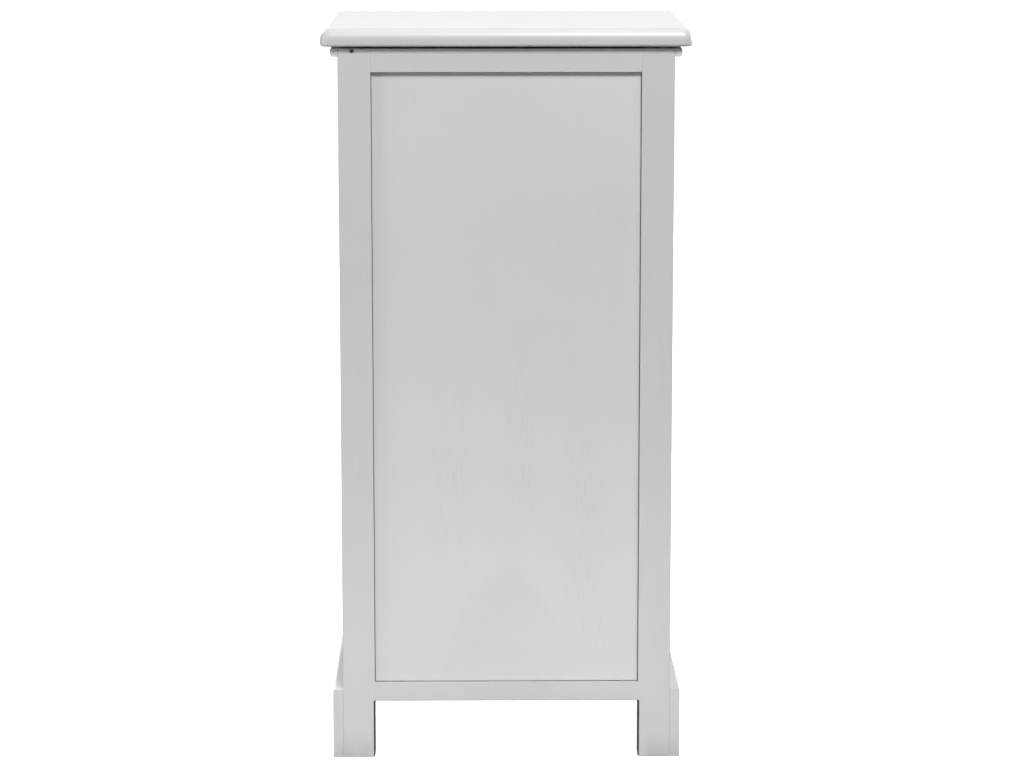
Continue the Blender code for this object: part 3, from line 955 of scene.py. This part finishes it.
# ---------------------------------------------------------------- drawers
def make_drawer_front(name):
    """A drawer front with a sanded edge and a routed groove round its field."""
    cad_node = f"drawer_front_{name}"
    low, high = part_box(cad_node)
    thick = high.y - low.y
    edge = quarter((0, thick - FRONT_EASE), (FRONT_EASE, thick), "early", SOFT_STEPS)
    groove = []
    for step in range(2 * SOFT_STEPS + 1):
        share = step / (2 * SOFT_STEPS)
        depth = GROOVE_DEPTH * math.sin(math.pi * share)
        groove.append((FRONT_BORDER + GROOVE_WIDTH * share, thick - depth))
    profile = [(CRISP, 0), (0, CRISP)] + edge + groove
    builder = shaped_plate(low, high, "-y", profile)
    layer = builder.verts.layers.float.new("arris")
    for vert in builder.verts:
        near = min(vert.co.x - low.x, high.x - vert.co.x, vert.co.z - low.z, high.z - vert.co.z)
        at_edge = NEAR < near < 0.9 * FRONT_EASE and vert.co.y < low.y + FRONT_EASE
        vert[layer] = 1.0 if at_edge else 0.0
    paint = finish_of("drawer_paint", "x")
    add_piece(f"{cad_node}_board", builder, [paint], [cad_node])


def make_drawer_box(name):
    """A box of sanded boards: sides and ends finger-jointed at the corners, round a thin bottom."""
    cad_node = f"drawer_box_{name}"
    low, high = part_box(cad_node)
    builder = bmesh.new()
    finger = (high.z - low.z) / FINGERS

    def add(board_low, board_high, material_index, top_round=0.0):
        part = box_builder(board_low, board_high)

        def at_top(edge):
            level = all(abs(vert.co.z - board_high[2]) < NEAR for vert in edge.verts)
            return level and edge.calc_length() > 3 * DRAWER_WALL

        if top_round:
            round_edges(part, top_round, CRISP_STEPS, at_top)
        for face in part.faces:
            face.material_index = material_index
        mesh = bpy.data.meshes.new("part")
        part.to_mesh(mesh)
        part.free()
        builder.from_mesh(mesh)
        bpy.data.meshes.remove(mesh)

    wall = DRAWER_WALL
    for left_side in (True, False):
        x = (low.x, low.x + wall) if left_side else (high.x - wall, high.x)
        board = (x[0], low.y + wall, low.z), (x[1], high.y - wall, high.z)
        add(*board, 0, DRAWER_TOP_ROUND)
    for front_end in (True, False):
        y = (low.y, low.y + wall) if front_end else (high.y - wall, high.y)
        board = (low.x + wall, y[0], low.z), (high.x - wall, y[1], high.z)
        add(*board, 1, DRAWER_TOP_ROUND)
        for left_side in (True, False):
            x = (low.x, low.x + wall) if left_side else (high.x - wall, high.x)
            for step in range(FINGERS):
                z = low.z + step * finger
                corner_low = (x[0], y[0], z + FINGER_GAP)
                corner_high = (x[1], y[1], z + finger - FINGER_GAP)
                add(corner_low, corner_high, step % 2)
    inset = wall - TOUCH
    floor_low = (low.x + inset, low.y + inset, low.z + FINGER_GAP)
    floor_high = (high.x - inset, high.y - inset, low.z + DRAWER_FLOOR)
    add(floor_low, floor_high, 0)
    materials = [finish_of("bare_wood", "y"), finish_of("bare_wood", "x")]
    add_piece(f"{cad_node}_boards", builder, materials, [cad_node], 30)


def make_knob(name):
    """A turned brass knob: a round rose, a waisted neck and a mushroom head, with a stud behind."""
    cad_node = f"knob_{name}"
    low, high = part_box(cad_node)
    centre = (low + high) / 2
    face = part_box(f"drawer_front_{name}")[0].y
    radius = (high.x - low.x) / 2
    rim = face - ROSE_RIM
    profile = [
        (0, high.y), (STUD_RADIUS, high.y), (STUD_RADIUS, face), (ROSE_RADIUS, face),
        (ROSE_RADIUS, rim),
    ]
    for step in range(ROSE_STEPS + 1):
        angle = math.radians(90) * step / ROSE_STEPS
        profile.append((
            ROSE_RADIUS - ROSE_ROUND_IN * (1 - math.cos(angle)), rim - ROSE_ROUND_OUT * math.sin(angle)
        ))
    waist_start, waist_end = face - NECK_START, face - NECK_END
    for step in range(NECK_STEPS + 1):
        share = step / NECK_STEPS
        flare = (NECK_FLARE + NECK_FLARE_GAIN * share) * (2 * share - 1) ** 2
        profile.append((NECK_RADIUS + flare, waist_start + (waist_end - waist_start) * share))
    head_start = waist_end - HEAD_GAP
    middle = head_start + HEAD_WIDEST * (low.y - head_start)
    for step in range(HEAD_STEPS + 1):
        angle = math.radians(90) * step / HEAD_STEPS
        profile.append((
            HEAD_START_RADIUS + (radius - HEAD_START_RADIUS) * math.sin(angle),
            head_start + (middle - head_start) * (1 - math.cos(angle)),
        ))
    for step in range(1, CROWN_STEPS + 1):
        angle = math.radians(90) * step / CROWN_STEPS
        profile.append((radius * math.cos(angle), middle + (low.y - middle) * math.sin(angle)))
    profile[-1] = (0, low.y)
    builder = turned(profile, centre, KNOB_SIDES)
    add_piece(f"{cad_node}_turned", builder, [finish_of("brass")], [cad_node], 32)


# ---------------------------------------------------------------- stage, light and camera
def stage_material(name, colour, glow=1.0):
    """A matt colour that also glows."""
    material, _, shader = shader_material(name)
    shader.inputs["Base Color"].default_value = rgb(colour)
    shader.inputs["Roughness"].default_value = 0.9
    shader.inputs["Emission Color"].default_value = rgb(colour)
    shader.inputs["Emission Strength"].default_value = glow
    return material


def make_stage():
    """A pale floor and, far away, a pale dome: the cabinet reflects them, but they don't light it."""
    bpy.ops.mesh.primitive_circle_add(
        vertices=96, radius=STAGE_RADIUS, fill_type="NGON", location=(0, 0, -FLOOR_DROP)
    )
    floor = bpy.context.object
    floor.name = "floor"
    floor.data.materials.append(stage_material("pale_floor", FLOOR_COLOUR))
    floor.visible_diffuse = False
    bpy.ops.mesh.primitive_uv_sphere_add(segments=48, ring_count=24, radius=STAGE_RADIUS)
    dome = bpy.context.object
    dome.name = "backdrop"
    dome.data.materials.append(stage_material("pale_backdrop", BACKDROP_COLOUR))
    dome.visible_diffuse = False
    dome.visible_shadow = False


def aim(thing, place, target):
    """Puts a lamp or camera in its place and turns it to a target."""
    thing.location = place
    thing.rotation_euler = (Vector(target) - Vector(place)).to_track_quat("-Z", "Y").to_euler()


def direction(turn, height):
    """A direction from the cabinet, in degrees: turn is from +Y towards +X, and height is above level."""
    around, up = math.radians(turn), math.radians(height)
    return Vector((math.sin(around) * math.cos(up), math.cos(around) * math.cos(up), math.sin(up)))


def softbox(name, turn, height, distance, size, power, colour=(1, 1, 1), target_height=0.4):
    """A soft rectangular lamp that shines at a point on the cabinet's upright middle line."""
    light = bpy.data.lights.new(name, "AREA")
    light.shape = "RECTANGLE"
    light.size, light.size_y = size
    light.energy = power
    light.color = colour
    lamp = bpy.data.objects.new(name, light)
    bpy.context.scene.collection.objects.link(lamp)
    lamp.visible_camera = False
    target = Vector((0, 0, target_height))
    aim(lamp, target + distance * direction(turn, height), target)


def make_lights():
    """A dim world, brighter on the drawers' side, and six soft lamps."""
    world = bpy.data.worlds.new("soft_studio")
    bpy.context.scene.world = world
    world.use_nodes = True
    tree = world.node_tree
    towards = node(tree, "ShaderNodeTexCoord").outputs["Generated"]
    forward = node(tree, "ShaderNodeSeparateXYZ", {0: towards}).outputs["Y"]
    strength = rescaled(tree, forward, -0.6, 0.3, WORLD_BRIGHT, WORLD_DIM)
    tree.links.new(strength, tree.nodes["Background"].inputs["Strength"])
    tree.nodes["Background"].inputs["Color"].default_value = WORLD_COLOUR
    softbox(
        "main", turn=-15, height=48, distance=3.8, size=(1.3, 0.9), power=135,
        colour=(1.0, 1.0, 0.995),
    )
    softbox("overhead", turn=0, height=87, distance=3.6, size=(1.2, 0.6), power=27)
    softbox(
        "left_fill", turn=70, height=0, distance=1.1, size=(0.3, 0.6), power=3.8,
        colour=(1.0, 1.0, 0.94), target_height=0.65,
    )
    softbox(
        "floor_bounce", turn=0, height=-24, distance=0.55, size=(1.4, 0.25), power=1.6,
        colour=(0.97, 0.975, 1.0), target_height=0.25,
    )
    softbox("front_key", turn=150, height=24, distance=5.0, size=(1.6, 1.6), power=130)
    softbox("front_fill", turn=232, height=10, distance=5.0, size=(1.6, 1.6), power=95)


def make_camera():
    """Looks at the back from just above the top."""
    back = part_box("rear_leg_left")[1].y
    camera = bpy.data.cameras.new("camera")
    camera.sensor_width = 36.0
    camera.lens = CAMERA_LENS
    camera.clip_end = 200.0
    eye = bpy.data.objects.new("camera", camera)
    bpy.context.scene.collection.objects.link(eye)
    place = Vector((CAMERA_SIDE, back + CAMERA_DISTANCE, CAMERA_HEIGHT))
    aim(eye, place, place - direction(-CAMERA_YAW, -CAMERA_PITCH))
    bpy.context.scene.camera = eye


def main():
    """Makes the stage, the lights, the camera and every piece."""
    bpy.context.scene.view_settings.view_transform = "Standard"
    make_stage()
    make_lights()
    make_camera()
    make_top()
    make_mouldings()
    make_frame()
    make_panel("back_panel", "+y")
    make_panel("side_panel_left", "-x")
    make_panel("side_panel_right", "+x")
    make_screw()
    make_skirt("side_skirt_left", "y", "-x", (True, False))
    make_skirt("side_skirt_right", "y", "+x", (True, False))
    make_skirt("front_skirt", "x", "-y", (True, True))
    make_inner_board("centre_partition", "z")
    for shelf in range(1, ROWS):
        make_inner_board(f"shelf_{shelf}", "x")
    for row in range(1, ROWS + 1):
        for side in ("left", "right"):
            name = f"r{row}_{side}"
            make_drawer_front(name)
            make_drawer_box(name)
            make_knob(name)


main()
